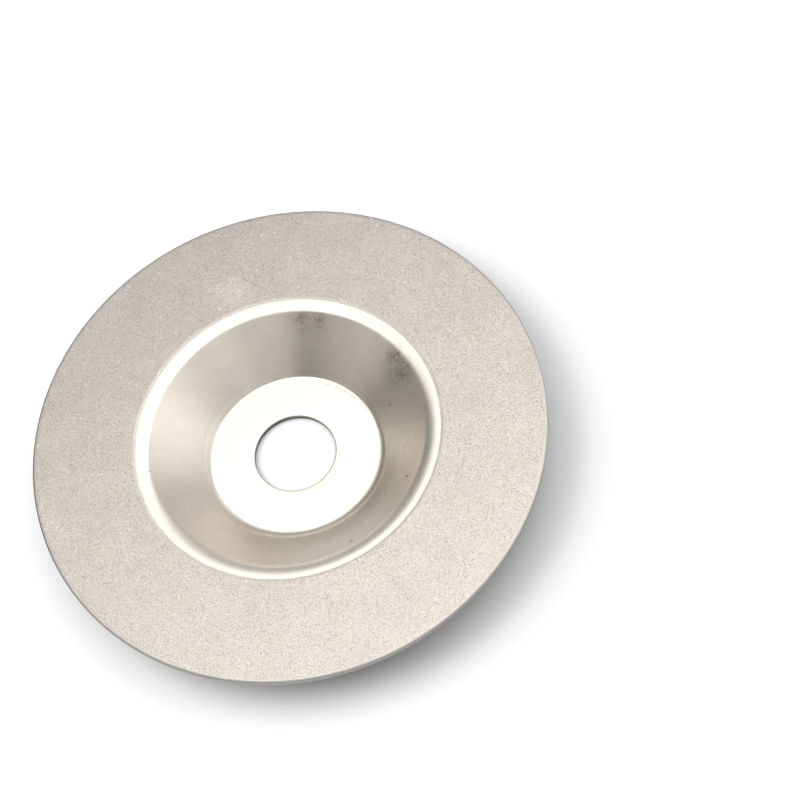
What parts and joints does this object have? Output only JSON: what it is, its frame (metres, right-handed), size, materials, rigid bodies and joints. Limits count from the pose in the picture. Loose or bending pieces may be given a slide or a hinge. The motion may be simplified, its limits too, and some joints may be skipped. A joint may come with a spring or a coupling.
{
  "type": "diamond grinding wheel",
  "caption": "Shallow dished steel grinding wheel with a flat hub, a round bore and a wide flat rim faced with diamond grains set in electroplated nickel.",
  "frame": {"origin": "on the spin axis, at the back face of the hub, which the wheel rests on", "axes": "+Z along the spin axis, out of the grit face; +X and +Y are any two square directions in the plane of the rim"},
  "size_m": [0.1, 0.1, 0.01],
  "materials": {
    "plated_steel": "satin",
    "nickel_bond": "matte",
    "diamond_grit": "satin"
  },
  "bodies": {
    "root": {"steel_dish": "plated_steel", "nickel_bond": "nickel_bond", "diamond_grit": "diamond_grit"}
  },
  "joints": []
}
